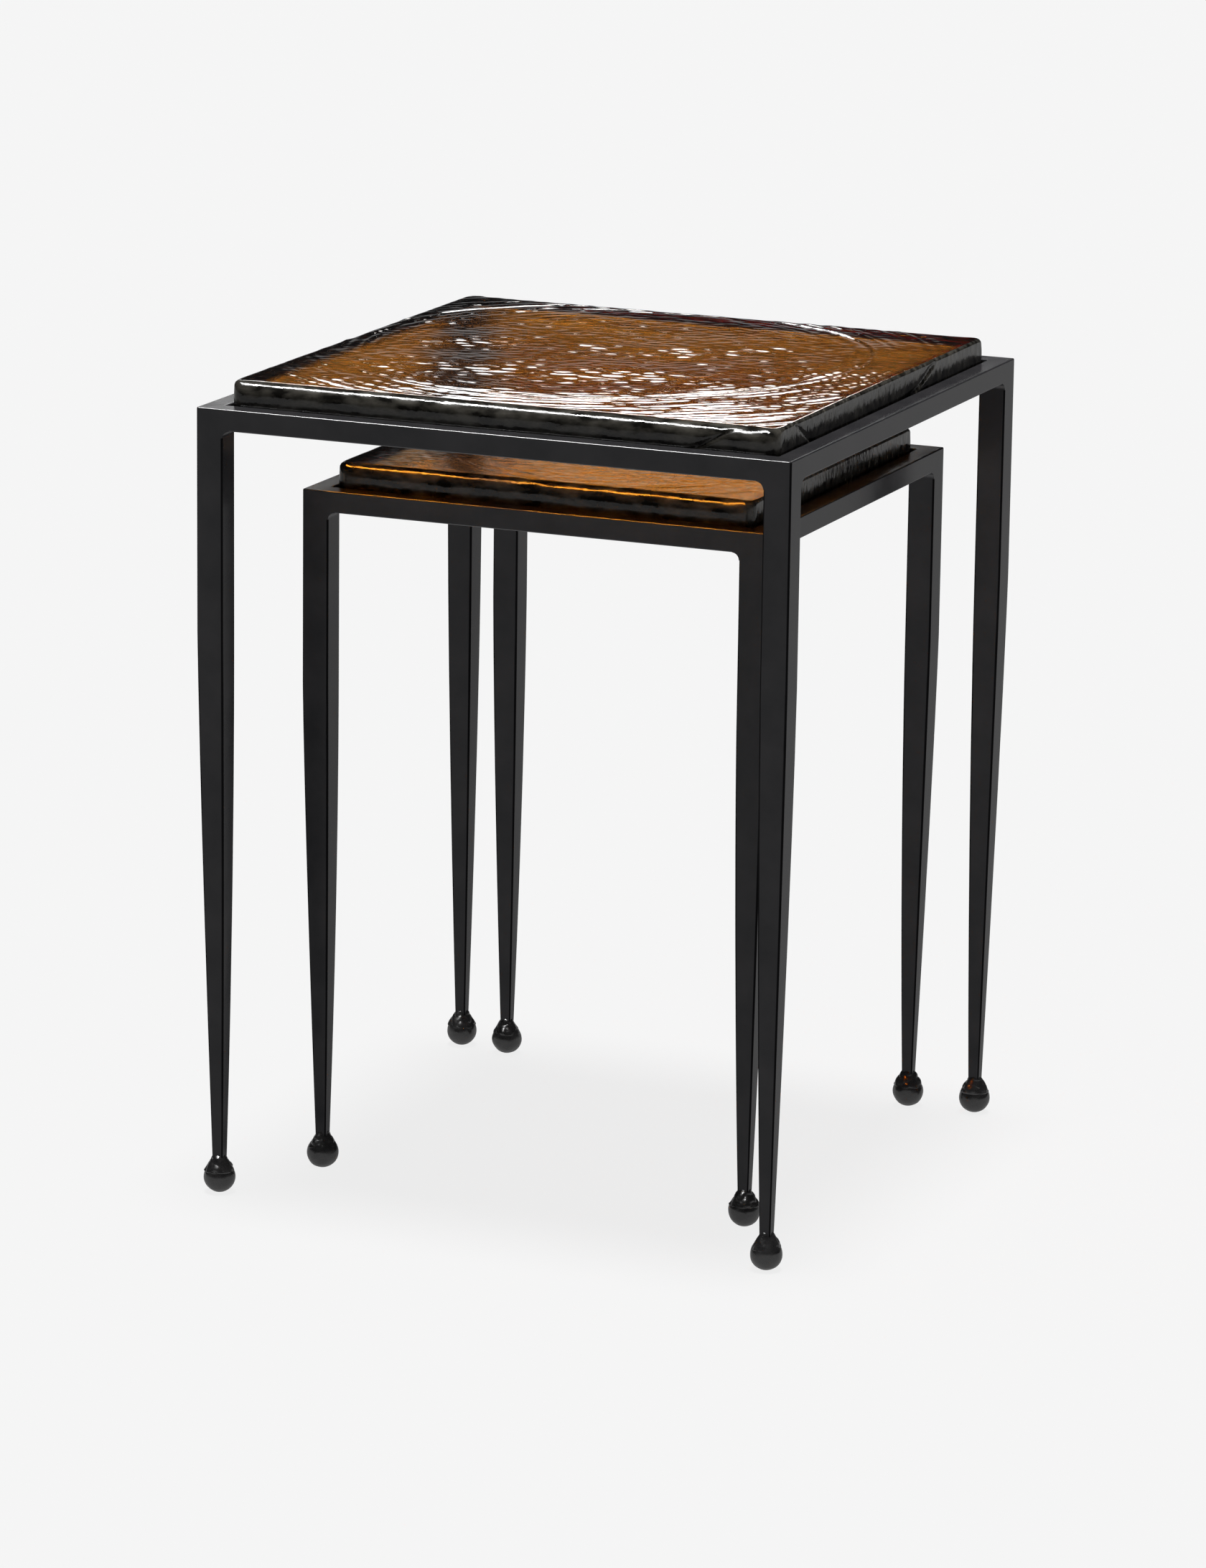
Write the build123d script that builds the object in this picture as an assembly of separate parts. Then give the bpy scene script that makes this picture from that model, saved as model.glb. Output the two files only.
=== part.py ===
from build123d import *
import math
import os

# Two square nesting side tables: ground-flush black steel frames on tapered legs with ball feet,
# each carrying a loose slab of cast amber glass. Millimetres, +Z up, +X to the right along the
# front, +Y to the back. The origin is on the floor under the middle of the large table.

# ---- driving dimensions -------------------------------------------------------------------------

# Outside width of each square frame and height of its upper face above the floor.
LARGE_WIDTH = 432.0
LARGE_FRAME_TOP = 555.5
SMALL_WIDTH = 343.0
SMALL_FRAME_TOP = 488.0

# Where the middle of the small table stands under the large one.
SMALL_OFFSET_X = -5.0
SMALL_OFFSET_Y = 39.0

# Bar stock: the top frame is mitred from thinner square bar than the legs.
RAIL_BAR = 15.0
LEG_BAR = 19.5
RAIL_EDGE_RADIUS = 1.0
CORNER_RADIUS = 1.5

# Leg taper, as seen on either pair of faces. It starts at this share of the frame's height. By the
# foot the outer face has moved in by OUTER_DRAFT and the inner face out by INNER_DRAFT.
TAPER_START_SHARE = 0.72
OUTER_DRAFT = 7.4
INNER_DRAFT = 4.3
OUTER_DRAFT_POWER = 1.25
INNER_DRAFT_POWER = 1.9
TAPER_SECTIONS = 9
FOOT_END_RADIUS = 1.1

# Ball foot with a small ground flat, and the weld cone between it and the leg.
BALL_RADIUS = 11.2
BALL_FLAT_RADIUS = 3.0
LEG_SINK = 1.0
FOOT_WELD_TOP_RADIUS = 5.5
FOOT_WELD_TOP_RISE = 3.2
FOOT_WELD_LOW_RISE = 5.6

# Concave weld fillets where a leg meets the underside of a rail.
RAIL_WELD_RADIUS = 5.0
FLUSH_PAD_HEIGHT = 1.4

# Ledge of mitred flat bar welded inside the frame, and the clear bumpers that the glass stands on.
LEDGE_WIDTH = 12.0
LEDGE_THICKNESS = 3.0
LEDGE_DROP = 10.0
BUMPER_RADIUS = 4.5
BUMPER_HEIGHT = 1.5
BUMPER_INSET = 6.0

# Cast glass slab.
GLASS_THICKNESS = 25.0
GLASS_GAP = 2.0
GLASS_CORNER_RADIUS = 8.0
GLASS_TOP_RADIUS = 6.5
GLASS_BOTTOM_RADIUS = 2.0

# ---- values that follow -------------------------------------------------------------------------

BALL_CENTRE_Z = math.sqrt(BALL_RADIUS**2 - BALL_FLAT_RADIUS**2)
LEG_END_Z = BALL_CENTRE_Z + BALL_RADIUS - LEG_SINK
FOOT_INSET = (OUTER_DRAFT + LEG_BAR - INNER_DRAFT) / 2
CORNERS = ("front_left", "front_right", "back_right", "back_left")
SIDES = ("front", "right", "back", "left")


def box_between(low, high):
    """Box from its lowest to its highest corner."""
    size = [b - a for a, b in zip(low, high)]
    middle = [(a + b) / 2 for a, b in zip(low, high)]
    return Pos(*middle) * Box(*size)


def quarter_turns(shape, count):
    """The shape turned about the table's upright axis by quarter turns."""
    return Rot(0, 0, 90 * count) * shape


# Everything below is drawn for one table centred on the Z axis, at its front left corner or front
# side. CORNERS and SIDES are in the order that quarter turns carry those to the others.


def leg_section(half_width, z, draft_share):
    """Outline of a leg: the share runs from 0 where the taper starts to 1 at the foot."""
    outer = OUTER_DRAFT * draft_share**OUTER_DRAFT_POWER
    inner = LEG_BAR - INNER_DRAFT * draft_share**INNER_DRAFT_POWER
    middle = -half_width + (outer + inner) / 2
    radius = CORNER_RADIUS + (FOOT_END_RADIUS - CORNER_RADIUS) * draft_share
    return Pos(middle, middle, z) * RectangleRounded(inner - outer, inner - outer, radius)


def make_ball(half_width):
    centre = -half_width + FOOT_INSET
    ball = Pos(centre, centre, BALL_CENTRE_Z) * Sphere(BALL_RADIUS)
    below_floor = Pos(centre, centre, -BALL_RADIUS) * Box(
        3 * BALL_RADIUS, 3 * BALL_RADIUS, 2 * BALL_RADIUS
    )
    return ball - below_floor


def make_leg(half_width, frame_top, ball):
    taper_start = TAPER_START_SHARE * frame_top
    leg_top = frame_top - RAIL_BAR
    straight = extrude(leg_section(half_width, taper_start, 0), leg_top - taper_start)
    sections = []
    for i in range(TAPER_SECTIONS + 1):
        share = i / TAPER_SECTIONS
        z = taper_start + (LEG_END_Z - taper_start) * share
        sections.append(leg_section(half_width, z, share))
    return straight + loft(sections) - ball


def make_foot_weld(half_width, ball, leg):
    """Cone of weld metal that runs from the leg's end on to the shoulder of the ball."""
    centre = -half_width + FOOT_INSET
    low_z = BALL_CENTRE_Z + FOOT_WELD_LOW_RISE
    low_radius = math.sqrt(BALL_RADIUS**2 - FOOT_WELD_LOW_RISE**2)
    top_z = BALL_CENTRE_Z + BALL_RADIUS + FOOT_WELD_TOP_RISE
    height = top_z - low_z
    cone = Cone(low_radius, FOOT_WELD_TOP_RADIUS, height)
    return Pos(centre, centre, low_z + height / 2) * cone - ball - leg


def make_rail(width, frame_top):
    """Front rail: square bar with eased long edges and mitred ends, ground flush over the legs."""
    half = width / 2
    under = frame_top - RAIL_BAR
    outside = Pos(0, 0, under) * extrude(RectangleRounded(width, width, CORNER_RADIUS), RAIL_BAR)
    opening = width - 2 * RAIL_BAR
    inside = Pos(0, 0, under) * extrude(Rectangle(opening, opening), RAIL_BAR)
    plain_ring = outside - inside
    long_edges = plain_ring.edges().group_by(Axis.Z)[0] + plain_ring.edges().group_by(Axis.Z)[-1]
    ring = fillet(long_edges, RAIL_EDGE_RADIUS)

    # Over each leg and its welds the lower edge is not eased, so that the joint is flush.
    reach = LEG_BAR + RAIL_WELD_RADIUS
    for turns in range(len(CORNERS)):
        for span_x, span_y in ((reach, RAIL_BAR), (RAIL_BAR, reach)):
            low = (-half, -half, under)
            high = (-half + span_x, -half + span_y, under + FLUSH_PAD_HEIGHT)
            ring += quarter_turns(box_between(low, high), turns) & plain_ring

    mitre = Polyline((-half, -half), (half, -half), (0, 0), close=True)
    wedge = extrude(make_face(mitre), frame_top + RAIL_BAR)
    return ring & wedge


def make_rail_welds(half_width, frame_top, leg):
    """Two fillets at a corner: one under each of the rails that meet there."""
    under = frame_top - RAIL_BAR
    start = -half_width + LEG_BAR
    end = start + RAIL_WELD_RADIUS
    low = (start - CORNER_RADIUS, -half_width, under - RAIL_WELD_RADIUS)
    block = box_between(low, (end, -half_width + RAIL_BAR, under))
    hollow = Rot(90, 0, 0) * Cylinder(RAIL_WELD_RADIUS, 3 * RAIL_BAR)
    weld = block - Pos(end, -half_width, under - RAIL_WELD_RADIUS) * hollow - leg
    diagonal = Plane(origin=(-half_width, -half_width, 0), z_dir=(1, -1, 0))
    return [weld.solid(), mirror(weld, about=diagonal).solid()]


def make_ledge(half_width, frame_top):
    """Front ledge: flat bar on the inner face of the rail, mitred to the ledges beside it."""
    outer = half_width - RAIL_BAR
    inner = outer - LEDGE_WIDTH
    outline = Polyline((-outer, -outer), (outer, -outer), (inner, -inner), (-inner, -inner), close=True)
    ledge = extrude(make_face(outline), LEDGE_THICKNESS)
    return Pos(0, 0, frame_top - LEDGE_DROP - LEDGE_THICKNESS) * ledge


def make_bumper(half_width, frame_top):
    """Clear disc on the ledge's corner, domed a little at its upper edge."""
    place = -half_width + RAIL_BAR + BUMPER_INSET
    disc = Cylinder(BUMPER_RADIUS, BUMPER_HEIGHT)
    disc = fillet(disc.edges().group_by(Axis.Z)[-1], BUMPER_HEIGHT / 3)
    return Pos(place, place, frame_top - LEDGE_DROP + BUMPER_HEIGHT / 2) * disc


def make_glass(width, frame_top):
    side = width - 2 * (RAIL_BAR + GLASS_GAP)
    slab = extrude(RectangleRounded(side, side, GLASS_CORNER_RADIUS), GLASS_THICKNESS)
    slab = fillet(slab.edges().group_by(Axis.Z)[-1], GLASS_TOP_RADIUS)
    slab = fillet(slab.edges().group_by(Axis.Z)[0], GLASS_BOTTOM_RADIUS)
    return Pos(0, 0, frame_top - LEDGE_DROP + BUMPER_HEIGHT) * slab


def make_table(prefix, width, frame_top, place):
    """Every sub-part of one table, by node name, standing at its place."""
    half = width / 2
    ball = make_ball(half)
    leg = make_leg(half, frame_top, ball)
    corner_pieces = {
        "leg": leg,
        "ball_foot": ball,
        "foot_weld": make_foot_weld(half, ball, leg),
        "rail_welds": Compound(children=make_rail_welds(half, frame_top, leg)),
    }
    side_pieces = {
        "rail": make_rail(width, frame_top),
        "glass_ledge": make_ledge(half, frame_top),
    }
    bumper = make_bumper(half, frame_top)

    parts = {}
    for turns, corner in enumerate(CORNERS):
        for piece, shape in corner_pieces.items():
            parts[f"{prefix}_{corner}_{piece}"] = quarter_turns(shape, turns)
    for turns, side in enumerate(SIDES):
        for piece, shape in side_pieces.items():
            parts[f"{prefix}_{side}_{piece}"] = quarter_turns(shape, turns)
    bumpers = [quarter_turns(bumper, turns) for turns in range(len(CORNERS))]
    parts[f"{prefix}_glass_bumpers"] = Compound(children=bumpers)
    parts[f"{prefix}_glass_top"] = make_glass(width, frame_top)
    return {name: place * shape for name, shape in parts.items()}


os.makedirs("parts", exist_ok=True)
tables = make_table("large", LARGE_WIDTH, LARGE_FRAME_TOP, Pos(0, 0, 0))
small_place = Pos(SMALL_OFFSET_X, SMALL_OFFSET_Y, 0)
tables.update(make_table("small", SMALL_WIDTH, SMALL_FRAME_TOP, small_place))
for name, shape in tables.items():
    export_step(shape, f"parts/{name}.step")
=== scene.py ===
import math

import bpy
import numpy as np
from mathutils import Matrix, Vector


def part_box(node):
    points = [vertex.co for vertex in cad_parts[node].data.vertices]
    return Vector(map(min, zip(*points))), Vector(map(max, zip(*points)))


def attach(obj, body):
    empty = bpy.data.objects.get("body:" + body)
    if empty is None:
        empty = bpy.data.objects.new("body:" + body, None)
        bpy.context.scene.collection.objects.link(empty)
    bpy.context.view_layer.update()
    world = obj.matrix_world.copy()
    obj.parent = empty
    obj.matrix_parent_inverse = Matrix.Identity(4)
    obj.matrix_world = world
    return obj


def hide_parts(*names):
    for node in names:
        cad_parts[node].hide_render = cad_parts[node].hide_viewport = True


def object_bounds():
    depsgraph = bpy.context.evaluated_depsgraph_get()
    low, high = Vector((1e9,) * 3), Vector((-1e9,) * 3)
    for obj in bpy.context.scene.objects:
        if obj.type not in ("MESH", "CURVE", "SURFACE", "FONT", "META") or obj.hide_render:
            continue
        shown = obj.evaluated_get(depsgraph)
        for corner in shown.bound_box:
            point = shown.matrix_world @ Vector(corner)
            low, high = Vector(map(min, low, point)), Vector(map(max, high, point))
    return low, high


# Two nesting tables: black painted steel frames on ball feet, each with a loose slab of cast amber
# glass. Lengths are in metres, in the frame of the CAD model, which names pieces table by table.

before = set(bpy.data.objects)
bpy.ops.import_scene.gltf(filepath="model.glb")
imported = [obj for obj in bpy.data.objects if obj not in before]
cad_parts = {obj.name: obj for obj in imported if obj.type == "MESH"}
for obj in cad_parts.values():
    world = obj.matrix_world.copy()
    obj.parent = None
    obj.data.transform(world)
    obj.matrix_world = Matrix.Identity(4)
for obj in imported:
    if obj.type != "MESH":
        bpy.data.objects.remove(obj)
cad_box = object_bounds()

MM = 0.001
TABLES = ("large", "small")
CORNERS = ("front_left", "front_right", "back_right", "back_left")


# ---- noise --------------------------------------------------------------------------------------


def wave_noise(points, shortest, longest, seed, waves=26):
    """Smooth noise of about unit size: plane waves in random directions, in a band of lengths."""
    random = np.random.default_rng(seed)
    total = np.zeros(len(points))
    for _ in range(waves):
        direction = random.normal(size=points.shape[1])
        direction /= np.linalg.norm(direction)
        length = math.exp(random.uniform(math.log(shortest), math.log(longest)))
        phase = random.uniform(0, 2 * math.pi)
        total += np.cos(points @ direction * (2 * math.pi / length) + phase)
    return total / math.sqrt(waves / 2)


def smooth_step(low, high, value):
    t = np.clip((value - low) / (high - low), 0, 1)
    return t * t * (3 - 2 * t)


def bell(value, width):
    return np.exp(-((value / width) ** 2))


# ---- mesh helpers -------------------------------------------------------------------------------


def add_mesh(name, vertices, faces, material):
    mesh = bpy.data.meshes.new(name)
    mesh.from_pydata([tuple(v) for v in vertices], [], faces)
    mesh.update()
    mesh.shade_smooth()
    mesh.materials.append(material)
    piece = bpy.data.objects.new(name, mesh)
    bpy.context.scene.collection.objects.link(piece)
    return piece


# ---- materials ----------------------------------------------------------------------------------

# Two colours together are the range that a noise moves in.
PAINT_TONES = ((0.024, 0.024, 0.026), (0.034, 0.033, 0.035))
# Painted shade: the flat dark line along the frame's upright edges.
EDGE_SHADE_TONE = (0.0025, 0.0025, 0.0028)
FOOT_TONES = ((0.013, 0.0125, 0.013), (0.025, 0.024, 0.024))
AMBER_TONES = ((0.52, 0.180, 0.015), (0.86, 0.345, 0.034))
# Painted light: a lighter amber, up to near-white painted glints, for the small slab.
PAINTED_LIGHT_AMBER_TONES = ((0.86, 0.345, 0.034), (1.0, 0.80, 0.56))
# Painted shade: the colour of the dark streak in the glass.
STREAK_SHADE_TONE = (0.07, 0.04, 0.03)
# Painted shade: the dark sheet over the glass's sides; from inside, a painted red glow.
PAINTED_SHADE_TONES = ((0.006, 0.0055, 0.0045), (0.068, 0.063, 0.053))
PAINTED_GLOW_TONES_INSIDE = ((0.05, 0.004, 0.004), (0.42, 0.022, 0.016))
PLASTIC_TONE = (0.85, 0.85, 0.8)
ABSORPTION_TONE = (0.55, 0.4, 0.3)
ABSORPTION_DENSITY = 8

# Painted shade in the glass: a dark streak along the line of sight, standing in for dark things
# seen through it. Its strength, a direction across it, its two edges along that direction, how far
# each edge fades outward and inward, and how far the streak wanders.
STREAK_STRENGTH = 0.8
STREAK_ACROSS = (0.92, 0.39, 0)
STREAK_EDGES = (-98 * MM, -66 * MM)
STREAK_FADE_OUT = 14 * MM
STREAK_FADE_IN = 8 * MM
STREAK_WANDER = 50 * MM

# Seen from inside the glass, the dark sheet of painted shade carries a painted red glow of light
# through the glass. To the left it fades to nearly black, between these places along X, down to
# this share of red.
RED_FADE = (-170 * MM, -60 * MM)
RED_ON_THE_LEFT = 0.1

FLOOR_TONE = (0.055, 0.055, 0.055)
FLOOR_GLOW = 0.83
FLOOR_GLOW_IN_GLOSS = 0.35


def new_material(name):
    material = bpy.data.materials.new(name)
    material.use_nodes = True
    nodes = material.node_tree.nodes
    return material, nodes, material.node_tree.links, nodes["Principled BSDF"]


def object_position(nodes):
    """Place in the object's own coordinates, which all pieces share."""
    return nodes.new("ShaderNodeTexCoord").outputs["Object"]


def attribute(nodes, name):
    node = nodes.new("ShaderNodeAttribute")
    node.attribute_name = name
    return node.outputs["Fac"]


def noise_node(nodes, links, scale, detail, stretch=None):
    """Noise that runs across joints, with its grain drawn out along axes of small stretch."""
    noise = nodes.new("ShaderNodeTexNoise")
    noise.inputs["Scale"].default_value = scale
    noise.inputs["Detail"].default_value = detail
    place = object_position(nodes)
    if stretch is not None:
        mapping = nodes.new("ShaderNodeMapping")
        mapping.inputs["Scale"].default_value = stretch
        links.new(place, mapping.inputs["Vector"])
        place = mapping.outputs["Vector"]
    links.new(place, noise.inputs["Vector"])
    return noise.outputs["Fac"]


def ramp_between(nodes, links, value, low, high, start=0.3, end=0.7):
    """The value from start to end, carried over to the range from low to high."""
    span = nodes.new("ShaderNodeMapRange")
    span.inputs["From Min"].default_value = start
    span.inputs["From Max"].default_value = end
    span.inputs["To Min"].default_value = low
    span.inputs["To Max"].default_value = high
    links.new(value, span.inputs["Value"])
    return span.outputs["Result"]


def mixed_colour(nodes, links, factor, first, second):
    """Mix of two colours, each given as three numbers or as a node's output."""
    mix = nodes.new("ShaderNodeMix")
    mix.data_type = "RGBA"
    links.new(factor, mix.inputs["Factor"])
    for socket, colour in (("A", first), ("B", second)):
        if isinstance(colour, tuple):
            mix.inputs[socket].default_value = (*colour, 1)
        else:
            links.new(colour, mix.inputs[socket])
    return mix.outputs["Result"]


def mixed_shader(nodes, links, factor, first, second):
    mix = nodes.new("ShaderNodeMixShader")
    links.new(factor, mix.inputs["Fac"])
    links.new(first, mix.inputs[1])
    links.new(second, mix.inputs[2])
    return mix.outputs["Shader"]


def math_node(nodes, links, operation, first, second):
    node = nodes.new("ShaderNodeMath")
    node.operation = operation
    links.new(first, node.inputs[0])
    links.new(second, node.inputs[1])
    return node.outputs["Value"]


def squared_product(nodes, links, first, second):
    product = math_node(nodes, links, "MULTIPLY", first, second)
    return math_node(nodes, links, "MULTIPLY", product, product)


def dot_node(nodes, links, vector, direction):
    node = nodes.new("ShaderNodeVectorMath")
    node.operation = "DOT_PRODUCT"
    links.new(vector, node.inputs[0])
    node.inputs[1].default_value = direction
    return node.outputs["Value"]


def bump_node(nodes, links, height, distance, strength, under=None):
    bump = nodes.new("ShaderNodeBump")
    bump.inputs["Distance"].default_value = distance
    bump.inputs["Strength"].default_value = strength
    links.new(height, bump.inputs["Height"])
    if under is not None:
        links.new(under, bump.inputs["Normal"])
    return bump.outputs["Normal"]


def frame_paint():
    """Half glossy black paint, polished along the bars' level edges, with painted shade along their
    upright edges: a flat dark line there.
    """
    material, nodes, links, shader = new_material("half_gloss_black_paint")
    broad = noise_node(nodes, links, 34, 3)
    fine = noise_node(nodes, links, 900, 2)
    colour = mixed_colour(nodes, links, ramp_between(nodes, links, broad, 0, 1), *PAINT_TONES)
    links.new(colour, shader.inputs["Base Color"])
    links.new(ramp_between(nodes, links, broad, 0.17, 0.23), shader.inputs["Roughness"])
    waves = bump_node(nodes, links, broad, 0.4 * MM, 0.05)
    peel = bump_node(nodes, links, fine, 0.04 * MM, 0.05, under=waves)
    links.new(peel, shader.inputs["Normal"])
    shader.inputs["Specular IOR Level"].default_value = 0.2

    dull = nodes.new("ShaderNodeBsdfDiffuse")
    dull.inputs["Color"].default_value = (*EDGE_SHADE_TONE, 1)
    shine = nodes.new("ShaderNodeBsdfPrincipled")
    links.new(colour, shine.inputs["Base Color"])
    links.new(ramp_between(nodes, links, broad, 0.20, 0.26), shine.inputs["Roughness"])
    shine.inputs["Specular IOR Level"].default_value = 1.0

    # Only a rounded edge has a normal that leans along two axes.
    normal = nodes.new("ShaderNodeSeparateXYZ")
    links.new(nodes.new("ShaderNodeNewGeometry").outputs["Normal"], normal.inputs["Vector"])
    upright_edge = squared_product(nodes, links, normal.outputs["X"], normal.outputs["Y"])
    level_edge = squared_product(nodes, links, normal.outputs["Y"], normal.outputs["Z"])
    # Painted shade: the upright rounded edges turn to a flat dark diffuse.
    painted_edge_shade = ramp_between(nodes, links, upright_edge, 0, 0.9, 0.012, 0.10)
    polish = ramp_between(nodes, links, level_edge, 0, 1, 0.01, 0.12)
    surface = mixed_shader(nodes, links, painted_edge_shade, shader.outputs["BSDF"], dull.outputs["BSDF"])
    surface = mixed_shader(nodes, links, polish, surface, shine.outputs["BSDF"])
    links.new(surface, nodes["Material Output"].inputs["Surface"])
    return material


def foot_paint():
    """The same black over weld metal and ball feet, thicker and more uneven."""
    material, nodes, links, shader = new_material("glossy_black_paint_on_weld")
    broad = noise_node(nodes, links, 160, 3)
    colour = mixed_colour(nodes, links, ramp_between(nodes, links, broad, 0, 1), *FOOT_TONES)
    links.new(colour, shader.inputs["Base Color"])
    links.new(ramp_between(nodes, links, broad, 0.20, 0.34), shader.inputs["Roughness"])
    links.new(bump_node(nodes, links, broad, 0.6 * MM, 0.5), shader.inputs["Normal"])
    shader.inputs["Specular IOR Level"].default_value = 1.0
    return material


def painted_shade_streak(nodes, links):
    """How much painted shade the streak lays on the glass: nothing beside it, and its full strength
    inside it.
    """
    place = nodes.new("ShaderNodeMath")
    place.operation = "MULTIPLY_ADD"
    place.inputs[1].default_value = STREAK_WANDER
    links.new(noise_node(nodes, links, 22, 3), place.inputs[0])
    links.new(dot_node(nodes, links, object_position(nodes), STREAK_ACROSS), place.inputs[2])
    low, high = STREAK_EDGES
    across = place.outputs["Value"]
    rising = ramp_between(nodes, links, across, 0, 1, low - STREAK_FADE_OUT, low + STREAK_FADE_IN)
    falling = ramp_between(
        nodes, links, across, STREAK_STRENGTH, 0, high - STREAK_FADE_IN, high + STREAK_FADE_OUT
    )
    return math_node(nodes, links, "MULTIPLY", rising, falling)


def amber_colour(nodes, links, dashes):
    """Cloudy amber; where the glass takes painted light, a lighter amber with painted glints; and
    the painted shade of the dark streak.
    """
    cloud = ramp_between(nodes, links, noise_node(nodes, links, 7, 3), 0, 1)
    # Painted glints: near-white flecks where the ripple noise is high.
    painted_glints = ramp_between(nodes, links, dashes, 0, 1, 0.45, 0.57)
    cloudy = mixed_colour(nodes, links, cloud, *AMBER_TONES)
    glinting_amber = mixed_colour(nodes, links, painted_glints, *PAINTED_LIGHT_AMBER_TONES)
    # Painted light: the small slab's amber is lightened and flecked, by the share in the attribute
    # pale.
    clear = mixed_colour(nodes, links, attribute(nodes, "pale"), cloudy, glinting_amber)
    # Painted shade: the streak darkens the glass towards its own tone.
    return mixed_colour(nodes, links, painted_shade_streak(nodes, links), clear, STREAK_SHADE_TONE)


def painted_shade_sheet(nodes, links, surface):
    """Painted shade: a dark sheet over the glass's sides and its underside's edge. From inside the
    glass it carries a painted red glow, except on the left.
    """
    painted_shade = nodes.new("ShaderNodeBsdfPrincipled")
    mottle = noise_node(nodes, links, 190, 6, stretch=(0.3, 1, 0.6))
    tone = ramp_between(nodes, links, mottle, 0, 1, 0.38, 0.66)
    rightward = dot_node(nodes, links, object_position(nodes), (1, 0, 0))
    rightward = ramp_between(nodes, links, rightward, RED_ON_THE_LEFT, 1, *RED_FADE)
    backfacing = nodes.new("ShaderNodeNewGeometry").outputs["Backfacing"]
    inside = math_node(nodes, links, "MULTIPLY", backfacing, rightward)
    black = mixed_colour(nodes, links, tone, *PAINTED_SHADE_TONES)
    red = mixed_colour(nodes, links, tone, *PAINTED_GLOW_TONES_INSIDE)
    # Painted shade outside, and a painted red glow of light through the glass inside.
    links.new(mixed_colour(nodes, links, inside, black, red), painted_shade.inputs["Base Color"])
    links.new(ramp_between(nodes, links, mottle, 0.04, 0.22), painted_shade.inputs["Roughness"])
    drips = noise_node(nodes, links, 190, 4, stretch=(0.35, 1, 0.36))
    drips = bump_node(nodes, links, drips, 0.8 * MM, 0.52, under=surface)
    links.new(drips, painted_shade.inputs["Normal"])
    return painted_shade.outputs["BSDF"]


def amber_glass():
    """Rippled cast glass, a little dull underneath, with a dark sheet of painted shade over its
    sides.
    """
    material, nodes, links, shader = new_material("cast_amber_glass")
    dashes = noise_node(nodes, links, 210, 2, stretch=(0.5, 1, 0.6))
    streaks = noise_node(nodes, links, 520, 3, stretch=(0.25, 1, 0.6))
    surface = bump_node(nodes, links, dashes, 0.3 * MM, 0.20)
    surface = bump_node(nodes, links, streaks, 0.1 * MM, 0.30, under=surface)
    links.new(surface, shader.inputs["Normal"])
    links.new(amber_colour(nodes, links, dashes), shader.inputs["Base Color"])
    dullness = ramp_between(nodes, links, attribute(nodes, "underside"), 0.06, 0.2, 0, 1)
    links.new(dullness, shader.inputs["Roughness"])
    shader.inputs["Transmission Weight"].default_value = 1
    shader.inputs["IOR"].default_value = 1.5

    painted_shade = painted_shade_sheet(nodes, links, surface)
    # Painted shade: the dark sheet takes the glass's place on the sides and the underside's edge.
    both = mixed_shader(nodes, links, attribute(nodes, "painted_shade"), shader.outputs["BSDF"], painted_shade)
    absorb = nodes.new("ShaderNodeVolumeAbsorption")
    absorb.inputs["Color"].default_value = (*ABSORPTION_TONE, 1)
    absorb.inputs["Density"].default_value = ABSORPTION_DENSITY
    output = nodes["Material Output"]
    links.new(both, output.inputs["Surface"])
    links.new(absorb.outputs["Volume"], output.inputs["Volume"])
    return material


def clear_plastic():
    material, nodes, links, shader = new_material("clear_soft_plastic")
    haze = noise_node(nodes, links, 300, 2)
    links.new(ramp_between(nodes, links, haze, 0.25, 0.4), shader.inputs["Roughness"])
    shader.inputs["Base Color"].default_value = (*PLASTIC_TONE, 1)
    shader.inputs["Transmission Weight"].default_value = 0.8
    return material


def floor_paper():
    """Pale light table. Glossy pieces see it dimmer, as if the studio round it were dark."""
    material, nodes, links, shader = new_material("pale_light_table")
    nodes.remove(shader)
    glossy = nodes.new("ShaderNodeLightPath").outputs["Is Glossy Ray"]
    strength = ramp_between(nodes, links, glossy, FLOOR_GLOW, FLOOR_GLOW_IN_GLOSS, 0, 1)
    glow = nodes.new("ShaderNodeEmission")
    links.new(strength, glow.inputs["Strength"])
    paper = nodes.new("ShaderNodeBsdfDiffuse")
    paper.inputs["Color"].default_value = (*FLOOR_TONE, 1)
    both = nodes.new("ShaderNodeAddShader")
    links.new(glow.outputs["Emission"], both.inputs[0])
    links.new(paper.outputs["BSDF"], both.inputs[1])
    links.new(both.outputs["Shader"], nodes["Material Output"].inputs["Surface"])
    return material


FRAME_PAINT = frame_paint()
FOOT_PAINT = foot_paint()
AMBER_GLASS = amber_glass()
CLEAR_PLASTIC = clear_plastic()


# ---- cast glass slabs ---------------------------------------------------------------------------

# The upper edge is rounder at the front and back than at the sides. Each slab's sides change from
# one kind to the other over EDGE_BLEND on either side of its corners.
SLAB_CORNER_RADIUS = 8 * MM
SLAB_TOP_RADIUS = 8 * MM
SLAB_SIDE_TOP_RADIUS = 2.4 * MM
SLAB_BOTTOM_RADIUS = 1.6 * MM
EDGE_BLEND = 15 * MM

# Grid spacing, steps over the upper edge and down the side, and how many of the upper face's cells
# go to one of the underside's.
SLAB_SPACING = 1.45 * MM
EDGE_STEPS = 10
SIDE_STEPS = 12
COARSE = 5

# Painted shade: the dark sheet reaches in under the slab by DARK_MARGIN, with a ragged edge,
# standing in for the shade of the ledge below.
DARK_MARGIN = 13 * MM
MARGIN_FADE = 3 * MM
MARGIN_WANDER = 1.5 * MM

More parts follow.
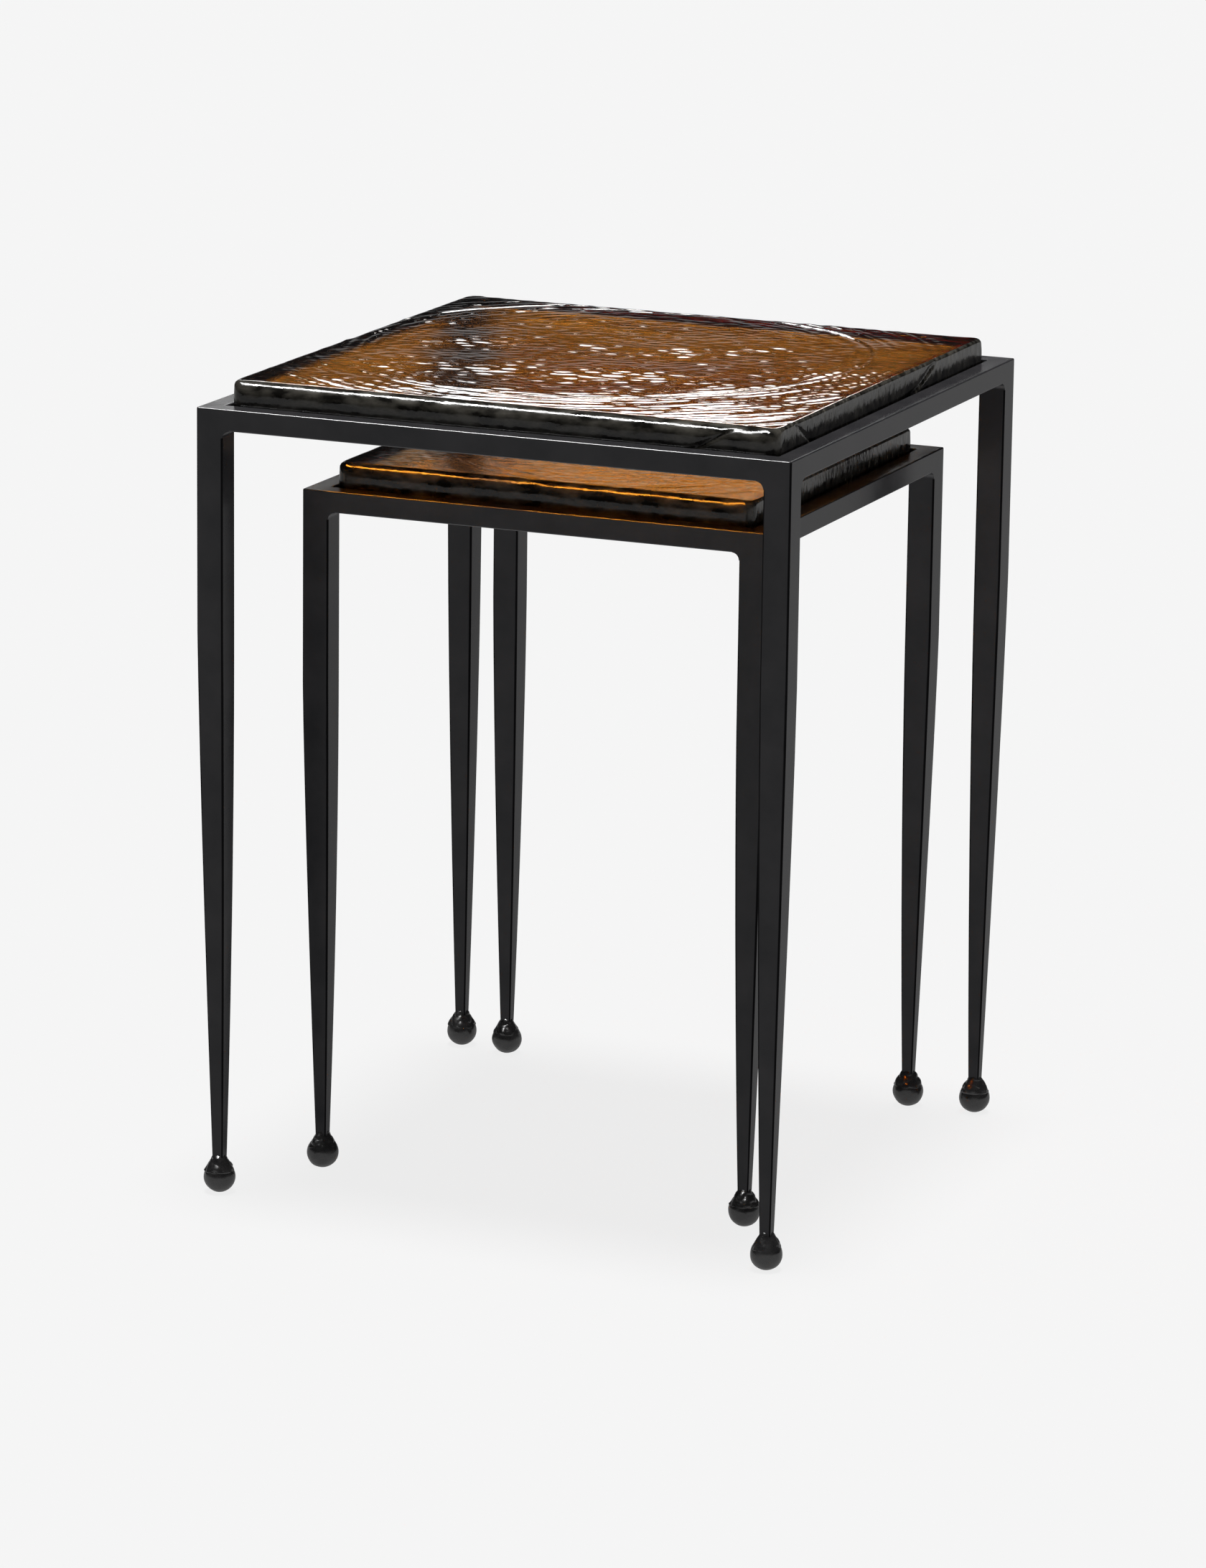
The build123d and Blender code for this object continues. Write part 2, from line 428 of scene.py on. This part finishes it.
# Painted light: how far each slab's amber is lightened and flecked with painted glints.
PAINTED_LIGHT_SHARE = {"large": 0.0, "small": 0.8}

# The middle stands higher than the rim, and more so on the right and at the front.
DOME_RISE = 1.0 * MM
DOME_REACH = 120 * MM
DOME_LOPSIDEDNESS = 0.6
RIM_SQUARENESS = 6

# Unevenness of the cast surface: height, shortest wave, longest wave, number of waves.
SWELL = (0.20 * MM, 60 * MM, 150 * MM, 26)
HAMMERED = (0.058 * MM, 6 * MM, 13 * MM, 60)
DRAWN = (0.068 * MM, 5 * MM, 11 * MM, 50)
CURTAIN = (0.030 * MM, 6 * MM, 13 * MM, 30)
LUMPS = (0.08 * MM, 25 * MM, 80 * MM, 30)
CHIPS = (0.35 * MM, 6 * MM, 18 * MM, 30)
UNDERSIDE_HEIGHT = 0.06 * MM
RIPPLE_TURN = math.radians(12)
RIPPLE_STRETCH = 1.9
SPIRAL_STRETCH = 0.14
GROOVE_HEIGHT = 0.018 * MM
GROOVE_SPACING = 4.6 * MM

# The glass was poured in a swirl: a middle in plan, then ridges. Each has a radius and a height in
# millimetres, how fast it leans in as it goes down the slab's side, and the sector that it fills,
# as the sector's middle and half its width in degrees.
SWIRLS = {
    "large": (
        (-20 * MM, 20 * MM),
        (
            (185, 0.34, 0, 0, 360),
            (203, 0.14, 0, 95, 60),
            (231, 0.24, 0.75, 42, 34),
            (291, 0.30, 1.1, -48, 24),
        ),
    ),
    "small": (
        (18 * MM, -12 * MM),
        ((138, 0.32, 0, 0, 360), (157, 0.14, 0, 120, 70), (214, 0.26, 0.9, 145, 26)),
    ),
}
RIDGE_WIDTH = 1.1 * MM
RIDGE_WANDER = 2.6 * MM
TROUGH_OFFSET = 2.4 * MM
TROUGH_WIDTH = 2.0 * MM

# Down the sides: how far the side leans in, how deep a ridge's crease is, and how far the glass
# beyond a crease stands out.
SIDE_LEAN = 0.7 * MM
CREASE_DEPTH = 1.2 * MM
CREASE_STEP = 0.35 * MM


def edge_insets(half, radius, steps, spacing, multiple):
    """Grid lines from one edge to the other: even angles over the rounded edge, then even steps."""
    rounded = radius * (1 - np.cos(np.linspace(0, math.pi / 2, steps + 1)))
    inner = half - radius
    count = math.ceil(2 * inner / spacing)
    while (2 * steps + count) % multiple:
        count += 1
    middle = np.linspace(-inner, inner, count + 1)
    left = -half + rounded
    return np.concatenate([left[:-1], middle, -left[:-1][::-1]])


def round_corners(x, y, half, radius):
    """A square's points moved so that its corners are round. Also gives each point's inset."""
    px, py = np.abs(x), np.abs(y)
    dx, dy = px - (half - radius), py - (half - radius)
    corner = (dx > 0) & (dy > 0)
    reach = np.maximum(dx, dy)
    length = np.hypot(dx, dy)
    scale = np.where(corner, reach / np.where(length > 0, length, 1), 1)
    inset = half - np.maximum(px, py)
    px = np.where(corner, half - radius + dx * scale, px)
    py = np.where(corner, half - radius + dy * scale, py)
    return np.copysign(px, x), np.copysign(py, y), inset


def front_or_back(x, y):
    """1 by the front and back edges and 0 by the other two."""
    return smooth_step(-EDGE_BLEND, EDGE_BLEND, np.abs(y) - np.abs(x))


def perimeter_indices(n):
    """Grid indices around the border of an n by n grid, counter-clockwise from the first corner."""
    front = [(i, 0) for i in range(n - 1)]
    right = [(n - 1, j) for j in range(n - 1)]
    back = [(i, n - 1) for i in range(n - 1, 0, -1)]
    left = [(0, j) for j in range(n - 1, 0, -1)]
    return front + right + back + left


def grid_faces(first, n, upward):
    """Faces of an n by n grid whose vertices start at the given index."""
    faces = []
    for i in range(n - 1):
        for j in range(n - 1):
            a, b = first + i * n + j, first + (i + 1) * n + j
            faces.append((a, b, b + 1, a + 1) if upward else (a, a + 1, b + 1, b))
    return faces


def slab_top(half, lines):
    """Vertices of the upper face and its rounded edge, with the face at z 0."""
    gx, gy = (g.ravel() for g in np.meshgrid(lines, lines, indexing="ij"))
    x, y, inset = round_corners(gx, gy, half, SLAB_CORNER_RADIUS)
    rim = SLAB_SIDE_TOP_RADIUS + (SLAB_TOP_RADIUS - SLAB_SIDE_TOP_RADIUS) * front_or_back(gx, gy)
    over = np.clip(rim - inset, 0, None)
    z = np.sqrt(np.clip(rim**2 - over**2, 0, None)) - rim
    return np.column_stack([x, y, z])


def slab_bottom(half, thickness, lines):
    """Vertices of the flat underside, which is smaller by the bottom radius."""
    gx, gy = (g.ravel() for g in np.meshgrid(lines, lines, indexing="ij"))
    x, y, _ = round_corners(gx, gy, half, SLAB_CORNER_RADIUS)
    shrink = (half - SLAB_BOTTOM_RADIUS) / half
    return np.column_stack([x * shrink, y * shrink, np.full(len(x), -thickness)])


def slab_shape(half, thickness):
    """Vertices and faces of a plain slab with its upper face at z 0."""
    lines = edge_insets(half, SLAB_TOP_RADIUS, EDGE_STEPS, SLAB_SPACING, COARSE)
    n = len(lines)
    vertices = [slab_top(half, lines)]
    faces = grid_faces(0, n, upward=True)

    ring = [i * n + j for i, j in perimeter_indices(n)]
    around = len(ring)
    outline = vertices[0][ring]
    count = n * n
    for share in np.linspace(0, 1, SIDE_STEPS + 1)[1:]:
        row = outline.copy()
        row[:, 2] += (SLAB_BOTTOM_RADIUS - thickness - outline[:, 2]) * share
        vertices.append(row)
        following = list(range(count, count + around))
        faces += [
            (ring[k], following[k], following[(k + 1) % around], ring[(k + 1) % around])
            for k in range(around)
        ]
        ring = following
        count += around

    coarse_lines = lines[::COARSE]
    m = len(coarse_lines)
    vertices.append(slab_bottom(half, thickness, coarse_lines))
    faces += grid_faces(count, m, upward=False)
    inner = [count + i * m + j for i, j in perimeter_indices(m)]
    for k in range(len(inner)):
        fine = [ring[(k * COARSE + step) % around] for step in range(COARSE + 1)]
        faces.append((*reversed(fine), inner[k], inner[(k + 1) % len(inner)]))
    return np.concatenate(vertices), faces


def uneven(points, kind, seed):
    height, shortest, longest, waves = kind
    return height * wave_noise(points, shortest, longest, seed, waves)


def swirl_lines(radius, angle, depth, ridges):
    """Height of the swirl's ridges at each point, and the creases they leave down the sides."""
    turning = np.column_stack([np.cos(angle), np.sin(angle)])
    height, crease, beyond = np.zeros((3, len(radius)))
    for number, (ridge_radius, ridge_height, lean, facing, reach) in enumerate(ridges):
        wander = RIDGE_WANDER * wave_noise(turning, 1.2, 4, 70 + number, waves=8)
        off = radius + wander - ridge_radius * MM + lean * depth
        away = np.abs((np.degrees(angle) - facing + 180) % 360 - 180)
        sector = smooth_step(reach + 8, reach, away)
        fade = (0.75 + 0.35 * wave_noise(turning, 0.5, 2, 80 + number, waves=8)) * sector
        profile = bell(off, RIDGE_WIDTH) - 0.5 * bell(off + TROUGH_OFFSET, TROUGH_WIDTH)
        height += ridge_height * MM * fade * profile
        if lean:
            crease += bell(off, RIDGE_WIDTH) * sector
            beyond += smooth_step(0, 2 * MM, off) * sector
    return height, crease, beyond


def top_height(plan, radius, angle, ring_radius, half, seed):
    """How high the cast upper face stands over a flat one, apart from the swirl's ridges."""
    x, y = plan.T
    power = RIM_SQUARENESS
    share = ((np.abs(x) / half) ** power + (np.abs(y) / half) ** power) ** (1 / power)
    from_rim = half * (1 - share)
    lopsided = 1 + DOME_LOPSIDEDNESS * (x - y) / half
    height = DOME_RISE * lopsided * (1 - np.clip(1 - from_rim / DOME_REACH, 0, 1) ** 2)
    height += smooth_step(4 * MM, 60 * MM, from_rim) * uneven(plan, SWELL, seed)

    # Hammered ripples in the middle, and others drawn out along the swirl towards the rim.
    outside = smooth_step(0.55 * ring_radius, 1.0 * ring_radius, radius)
    calm = smooth_step(0, 12 * MM, from_rim)
    grain_x = x * math.cos(RIPPLE_TURN) + y * math.sin(RIPPLE_TURN)
    grain_y = y * math.cos(RIPPLE_TURN) - x * math.sin(RIPPLE_TURN)
    grain = np.column_stack([grain_x / RIPPLE_STRETCH, grain_y])
    height += uneven(grain, HAMMERED, seed + 1) * (1 - 0.5 * outside) * calm
    along = SPIRAL_STRETCH * ring_radius
    spiral = np.column_stack([radius, along * np.cos(angle), along * np.sin(angle)])
    at_back = smooth_step(34 * MM, 6 * MM, from_rim) * smooth_step(0.02, 0.5, (y - x) / half)
    drawn_share = outside * (0.08 + 0.92 * calm) + 0.9 * at_back
    height += uneven(spiral, DRAWN, seed + 2) * drawn_share
    grooves = np.cos((radius - ring_radius) * 2 * math.pi / GROOVE_SPACING)
    height += GROOVE_HEIGHT * grooves * bell(radius - ring_radius + 12 * MM, 16 * MM)
    return height


def cast_surface(points, half, thickness, table, seed):
    """The slab's points moved as the casting left them: swirl, ripples, creases, wavy sides."""
    x, y, z = points.T
    plan = points[:, :2]
    depth = -z
    upper = smooth_step(-SLAB_TOP_RADIUS, 0, z)
    side = 1 - upper
    lower = smooth_step(-thickness + 2.5 * SLAB_BOTTOM_RADIUS, -thickness, z)
    (middle_x, middle_y), ridges = SWIRLS[table]
    radius = np.hypot(x - middle_x, y - middle_y)
    angle = np.arctan2(y - middle_y, x - middle_x)
    ridge, crease, beyond = swirl_lines(radius, angle, depth, ridges)
    height = ridge + top_height(plan, radius, angle, ridges[0][0] * MM, half, seed)
    result = points.copy()
    result[:, 2] += height * upper

    # Sides: they lean in below the rounded edge, and are wavy, creased and chipped.
    outward = plan / half
    steep = np.clip((np.abs(outward) - 0.9) / 0.1, 0, 1) ** 8 * np.sign(outward)
    length = np.linalg.norm(steep, axis=1)
    normal = steep / np.where(length > 1e-6, length, 1)[:, None]
    lean = np.clip((14 * MM - depth) / (9 * MM), 0, 1) ** 2 * (0.15 + 0.85 * front_or_back(x, y))
    waviness = uneven(points * (1, 1, 0.3), CURTAIN, seed + 4) + uneven(points, LUMPS, seed + 5)
    push = -SIDE_LEAN * lean + waviness * side
    push += CREASE_STEP * beyond * side
    push -= CREASE_DEPTH * crease * smooth_step(1 * MM, 4 * MM, depth)
    result[:, :2] += normal * push[:, None]

    # Underside: chipped along its edge, and raised unevenly so that it clears the bumpers.
    chips = np.clip(uneven(plan, CHIPS, seed + 6), 0, None)
    result[:, 2] += chips * lower * (length > 1e-6)
    under = wave_noise(plan, 14 * MM, 40 * MM, seed + 7, waves=30)
    result[:, 2] += UNDERSIDE_HEIGHT * (np.clip(under, -3, 3) + 3.2) * lower
    return result


def slab_layers(points, half, thickness, table, seed):
    """Per point: how much painted shade covers it, whether it is underneath, and how much painted
    light lightens the glass.
    """
    x, y, z = points.T
    inset = half - np.maximum(np.abs(x), np.abs(y))
    ragged = MARGIN_WANDER * wave_noise(points[:, :2], 8 * MM, 30 * MM, seed + 8, waves=20)
    margin = smooth_step(DARK_MARGIN + MARGIN_FADE, DARK_MARGIN - MARGIN_FADE, inset + ragged)
    # Painted shade along the edge of the underside.
    under_margin = smooth_step(-thickness + 2 * MM, -thickness + MM, z) * margin
    painted_shade = smooth_step(-0.01 * MM, -(0.10 + 0.35 * front_or_back(x, y)) * MM, z)
    painted_shade *= smooth_step(-thickness + 0.1 * MM, -thickness + MM, z)
    return {
        "painted_shade": np.maximum(painted_shade, under_margin),
        "underside": smooth_step(-thickness + MM, -thickness, z),
        # Share of painted light that lightens the slab's amber.
        "pale": np.full(len(points), PAINTED_LIGHT_SHARE[table]),
    }


def make_slab(table, seed):
    low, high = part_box(f"{table}_glass_top")
    half = (high.x - low.x) / 2
    thickness = high.z - low.z
    plain, faces = slab_shape(half, thickness)
    points = cast_surface(plain, half, thickness, table, seed)
    points += ((low.x + high.x) / 2, (low.y + high.y) / 2, high.z)
    slab = add_mesh(f"{table}_cast_glass", points, faces, AMBER_GLASS)
    for name, values in slab_layers(plain, half, thickness, table, seed).items():
        slab.data.attributes.new(name, "FLOAT", "POINT").data.foreach_set("value", values)
    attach(slab, f"{table}_glass")
    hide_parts(f"{table}_glass_top")


for number, table in enumerate(TABLES):
    make_slab(table, 40 + 20 * number)


# ---- ball feet and their welds ------------------------------------------------------------------

TURNS = 96

# The ball's own surface lies this far inside the CAD ball, so that its bumps do not stand out.
BALL_SHRINK = 0.12 * MM

# Radius and height over the ball's centre, in millimetres.
WELD_PROFILE = (
    (0, -2),
    (4, -2),
    (9.2, 3.2),
    (10.15, 4.6),
    (9.9, 5.7),
    (9.2, 7.4),
    (8.1, 9.4),
    (6.9, 11.4),
    (5.9, 13.0),
    (5.1, 14.4),
    (4.3, 15.6),
    (3.2, 16.6),
    (0, 16.6),
)
WELD_PROFILE_STEPS = 9


def revolved(name, profile, centre, displace, material):
    """Closed mesh of a profile of (radius, height) points turned about an upright axis."""
    angles = np.linspace(0, 2 * math.pi, TURNS, endpoint=False)
    radius, height = (np.asarray(v)[:, None] for v in zip(*profile[1:-1]))
    rows = len(radius)
    rings = [radius * np.cos(angles), radius * np.sin(angles), height + 0 * angles]
    points = displace(np.stack(rings, axis=-1).reshape(-1, 3))
    ends = np.array([(0, 0, profile[0][1]), (0, 0, profile[-1][1])])
    faces = []
    for i in range(rows - 1):
        for k in range(TURNS):
            a, b = i * TURNS + k, i * TURNS + (k + 1) % TURNS
            faces.append((a, b, b + TURNS, a + TURNS))
    last = (rows - 1) * TURNS
    faces += [((k + 1) % TURNS, k, rows * TURNS) for k in range(TURNS)]
    faces += [(last + k, last + (k + 1) % TURNS, rows * TURNS + 1) for k in range(TURNS)]
    return add_mesh(name, np.concatenate([points, ends]) + centre, faces, material)


def ball_profile(radius, middle):
    """From the ground flat up to the top: a sphere cut off at height 0."""
    start = math.acos(middle / radius)
    angles = np.linspace(start, math.pi, 60)
    flat_edge = radius * math.sin(start)
    flat = [(0, 0), (0.4 * flat_edge, 0), (0.8 * flat_edge, 0)]
    return flat + [(radius * math.sin(a), middle - radius * math.cos(a)) for a in angles]


def smooth_profile(points, steps):
    """Catmull-Rom curve through all but the two end points, which stay on the axis."""
    inner = np.array(points[1:-1], float)
    padded = np.vstack([2 * inner[0] - inner[1], inner, 2 * inner[-1] - inner[-2]])
    curve = []
    for a, b, c, d in zip(padded, padded[1:], padded[2:], padded[3:]):
        bend = 2 * a - 5 * b + 4 * c - d
        twist = 3 * b - a - 3 * c + d
        for t in np.linspace(0, 1, steps, endpoint=False):
            curve.append(0.5 * (2 * b + (c - a) * t + bend * t**2 + twist * t**3))
    return [points[0], *map(tuple, curve), tuple(inner[-1]), points[-1]]


def make_ball(table, corner, radius, middle, centre, seed):
    """A slightly uneven ball. Its ground flat stays flat."""

    def dent(points):
        away = (points - (0, 0, middle)) / radius
        wobble = 0.10 * MM * wave_noise(points, 8 * MM, 20 * MM, seed, waves=20)
        grain = 0.015 * MM * wave_noise(points, 3 * MM, 6 * MM, seed + 1, waves=20)
        free = smooth_step(0, 2 * MM, points[:, 2])
        return points + away * ((wobble + grain) * free - BALL_SHRINK)[:, None]

    profile = ball_profile(radius, middle)
    return revolved(f"{table}_{corner}_ball", profile, centre, dent, FOOT_PAINT)


def make_weld_bead(table, corner, middle, centre, seed):
    """The lumpy bead of weld metal between the ball and the leg."""

    def lump(points):
        rise = points[:, 2] - middle
        zone = smooth_step(2.5 * MM, 5 * MM, rise) * smooth_step(16.5 * MM, 13.5 * MM, rise)
        angles = np.arctan2(points[:, 1], points[:, 0])
        outward = np.column_stack([np.cos(angles), np.sin(angles), np.zeros(len(angles))])
        folds = wave_noise(points, 6 * MM, 12 * MM, seed + 2, waves=24)
        crumbs = wave_noise(points, 2.6 * MM, 5 * MM, seed + 3, waves=24)
        lean = wave_noise(outward, 1.5, 6, seed + 4, waves=8)
        push = 0.40 * np.abs(folds) - 0.30 + 0.06 * np.abs(crumbs) + 0.18 * lean
        points = points + outward * (push * MM * zone)[:, None]
        points[:, 2] += 0.35 * MM * lean * zone
        return points

    curve = smooth_profile(WELD_PROFILE, WELD_PROFILE_STEPS)
    profile = [(r * MM, middle + z * MM) for r, z in curve]
    return revolved(f"{table}_{corner}_weld_bead", profile, centre, lump, FOOT_PAINT)


def make_foot(table, corner, seed):
    low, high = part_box(f"{table}_{corner}_ball_foot")
    radius = (high.x - low.x) / 2
    centre = np.array([(low.x + high.x) / 2, (low.y + high.y) / 2, 0])
    middle = high.z - radius
    ball = make_ball(table, corner, radius, middle, centre, seed)
    bead = make_weld_bead(table, corner, middle, centre, seed)
    for piece, node in ((ball, "ball_foot"), (bead, "foot_weld")):
        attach(piece, f"{table}_frame")
        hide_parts(f"{table}_{corner}_{node}")


for number, (table, corner) in enumerate((t, c) for t in TABLES for c in CORNERS):
    make_foot(table, corner, 200 + 10 * number)


# ---- CAD pieces that keep their shape -----------------------------------------------------------


def finish_node(name, material):
    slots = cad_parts[name].material_slots
    if slots:
        for slot in slots:
            slot.material = material
    else:
        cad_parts[name].data.materials.append(material)


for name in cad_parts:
    if name.endswith(("rail", "leg", "ledge", "rail_welds")):
        finish_node(name, FRAME_PAINT)
    elif name.endswith("bumpers"):
        finish_node(name, CLEAR_PLASTIC)


# ---- floor, light and camera --------------------------------------------------------------------

VIEW_AZIMUTH = math.radians(22.931)
VIEW_ELEVATION = math.radians(13.815)
VIEW_ROLL = math.radians(0.743)
VIEW_DISTANCE = 4.4
LENS = 150.7
AIM_POINT = Vector((0.0762, -0.1931, 0.3197))

FLOOR_SIZE = 60.0
FLOOR_GAP = 0.0002
BACKDROP_TONE = (0.905, 0.905, 0.905)
ROOM_TONE = (0.985, 0.99, 1)
ROOM_LIGHT = 0.05

# The studio's light: away from the camera and sideways to it, in plan.
LIGHT_AZIMUTH = math.radians(23)
AWAY = Vector((-math.sin(LIGHT_AZIMUTH), math.cos(LIGHT_AZIMUTH), 0))
SIDEWAYS = Vector((math.cos(LIGHT_AZIMUTH), math.sin(LIGHT_AZIMUTH), 0))

# Left and right ends, low and high ends above the glass, distance behind the tables.
BACK_PANEL = (-0.52, 0.34, 0.425, 0.64, 1.5)
BACK_PANEL_POWER = 3.4
# Sideways, away, height above the glass, length and width.
OVERHEAD = (-1.05, -0.25, 2.0, 1.3, 0.22)
OVERHEAD_POWER = 74
SHADE_POWER = 4.7
SHADE_ANGLE = math.radians(14)

# A glow in the world, low behind the tables: its lowest and highest elevation and their soft edge
# in degrees, its left and right ends and their soft edge as sideways parts of a unit direction, and
# its strength.
GLOW_RISE = (1.0, 6.5)
GLOW_RISE_SOFT = 1.5
GLOW_ENDS = (-0.6, 0.5)
GLOW_ENDS_SOFT = 0.06
GLOW_STRENGTH = 0.28


def make_floor():
    half = FLOOR_SIZE / 2
    z = cad_box[0][2] - FLOOR_GAP
    corners = [(-half, -half, z), (half, -half, z), (half, half, z), (-half, half, z)]
    add_mesh("studio_floor", corners, [(0, 1, 2, 3)], floor_paper())


def band(nodes, links, value, ends, soft, light=1.0):
    """Light where the value lies between the two ends, with soft edges."""
    low, high = ends
    rising = ramp_between(nodes, links, value, 0, light, low - soft, low)
    falling = ramp_between(nodes, links, value, 1, 0, high, high + soft)
    return math_node(nodes, links, "MULTIPLY", rising, falling)


def make_world():
    """A dark studio with a faint glow behind the tables. The camera sees a pale backdrop."""
    world = bpy.data.worlds.new("studio")
    bpy.context.scene.world = world
    world.use_nodes = True
    nodes, links = world.node_tree.nodes, world.node_tree.links
    nodes.clear()
    direction = nodes.new("ShaderNodeTexCoord").outputs["Generated"]
    depth, lateral, rise = (
        dot_node(nodes, links, direction, v) for v in (AWAY, SIDEWAYS, Vector((0, 0, 1)))
    )
    elevation = math_node(nodes, links, "ARCTAN2", rise, depth)
    heights = tuple(math.radians(v) for v in GLOW_RISE)
    glow = band(nodes, links, elevation, heights, math.radians(GLOW_RISE_SOFT), GLOW_STRENGTH)
    across = band(nodes, links, lateral, GLOW_ENDS, GLOW_ENDS_SOFT)
    glow = math_node(nodes, links, "MULTIPLY", glow, across)
    room = ramp_between(nodes, links, rise, 0, ROOM_LIGHT, 0, 1)

    studio = nodes.new("ShaderNodeBackground")
    links.new(math_node(nodes, links, "ADD", glow, room), studio.inputs["Strength"])
    studio.inputs["Color"].default_value = (*ROOM_TONE, 1)
    backdrop = nodes.new("ShaderNodeBackground")
    backdrop.inputs["Color"].default_value = (*BACKDROP_TONE, 1)
    seen = nodes.new("ShaderNodeLightPath").outputs["Is Camera Ray"]
    both = mixed_shader(
        nodes, links, seen, studio.outputs["Background"], backdrop.outputs["Background"]
    )
    links.new(both, nodes.new("ShaderNodeOutputWorld").inputs["Surface"])


def make_panel(name, place, facing, width, height, power):
    """A softbox that faces a point. It shows in reflections only: the floor is a light itself."""
    data = bpy.data.lights.new(name, "AREA")
    data.shape = "RECTANGLE"
    data.size = width
    data.size_y = height
    data.energy = power
    panel = bpy.data.objects.new(name, data)
    bpy.context.scene.collection.objects.link(panel)
    turn = (place - facing).to_track_quat("Z", "Y")
    panel.matrix_world = Matrix.Translation(place) @ turn.to_matrix().to_4x4()
    panel.visible_camera = False
    panel.visible_diffuse = False


def make_panels():
    """A wide softbox behind the tables, and a strip high above, in front and to the left."""
    top = Vector((0, 0, cad_box[1][2]))
    left, right, low, high, away = BACK_PANEL
    middle = SIDEWAYS * (left + right) / 2 + Vector((0, 0, (low + high) / 2)) + top
    place = middle + AWAY * away
    make_panel("back_panel", place, middle, right - left, high - low, BACK_PANEL_POWER)
    sideways, away, height, length, width = OVERHEAD
    strip = top + SIDEWAYS * sideways + AWAY * away + Vector((0, 0, height))
    make_panel("overhead_strip", strip, top, length, width, OVERHEAD_POWER)


def make_sun():
    """Soft light from straight above. It only gives the floor its shadows."""
    data = bpy.data.lights.new("overhead_shade", "SUN")
    data.energy = SHADE_POWER
    data.angle = SHADE_ANGLE
    sun = bpy.data.objects.new("overhead_shade", data)
    bpy.context.scene.collection.objects.link(sun)
    sun.visible_glossy = False
    sun.visible_transmission = False


def make_camera():
    """Looks at the aim point from the front and right, a little from above, with a slight tilt."""
    back = Vector(
        (
            math.sin(VIEW_AZIMUTH) * math.cos(VIEW_ELEVATION),
            -math.cos(VIEW_AZIMUTH) * math.cos(VIEW_ELEVATION),
            math.sin(VIEW_ELEVATION),
        )
    )
    right = Vector((math.cos(VIEW_AZIMUTH), math.sin(VIEW_AZIMUTH), 0))
    up = back.cross(right)
    tilted_right = right * math.cos(VIEW_ROLL) + up * math.sin(VIEW_ROLL)
    tilted_up = up * math.cos(VIEW_ROLL) - right * math.sin(VIEW_ROLL)
    turn = Matrix((tilted_right, tilted_up, back)).transposed()
    data = bpy.data.cameras.new("camera")
    data.lens = LENS
    data.clip_end = 200
    camera = bpy.data.objects.new("camera", data)
    bpy.context.scene.collection.objects.link(camera)
    camera.matrix_world = Matrix.Translation(AIM_POINT + back * VIEW_DISTANCE) @ turn.to_4x4()
    bpy.context.scene.camera = camera


make_floor()
make_world()
make_panels()
make_sun()
make_camera()
bpy.context.scene.view_settings.view_transform = "Standard"
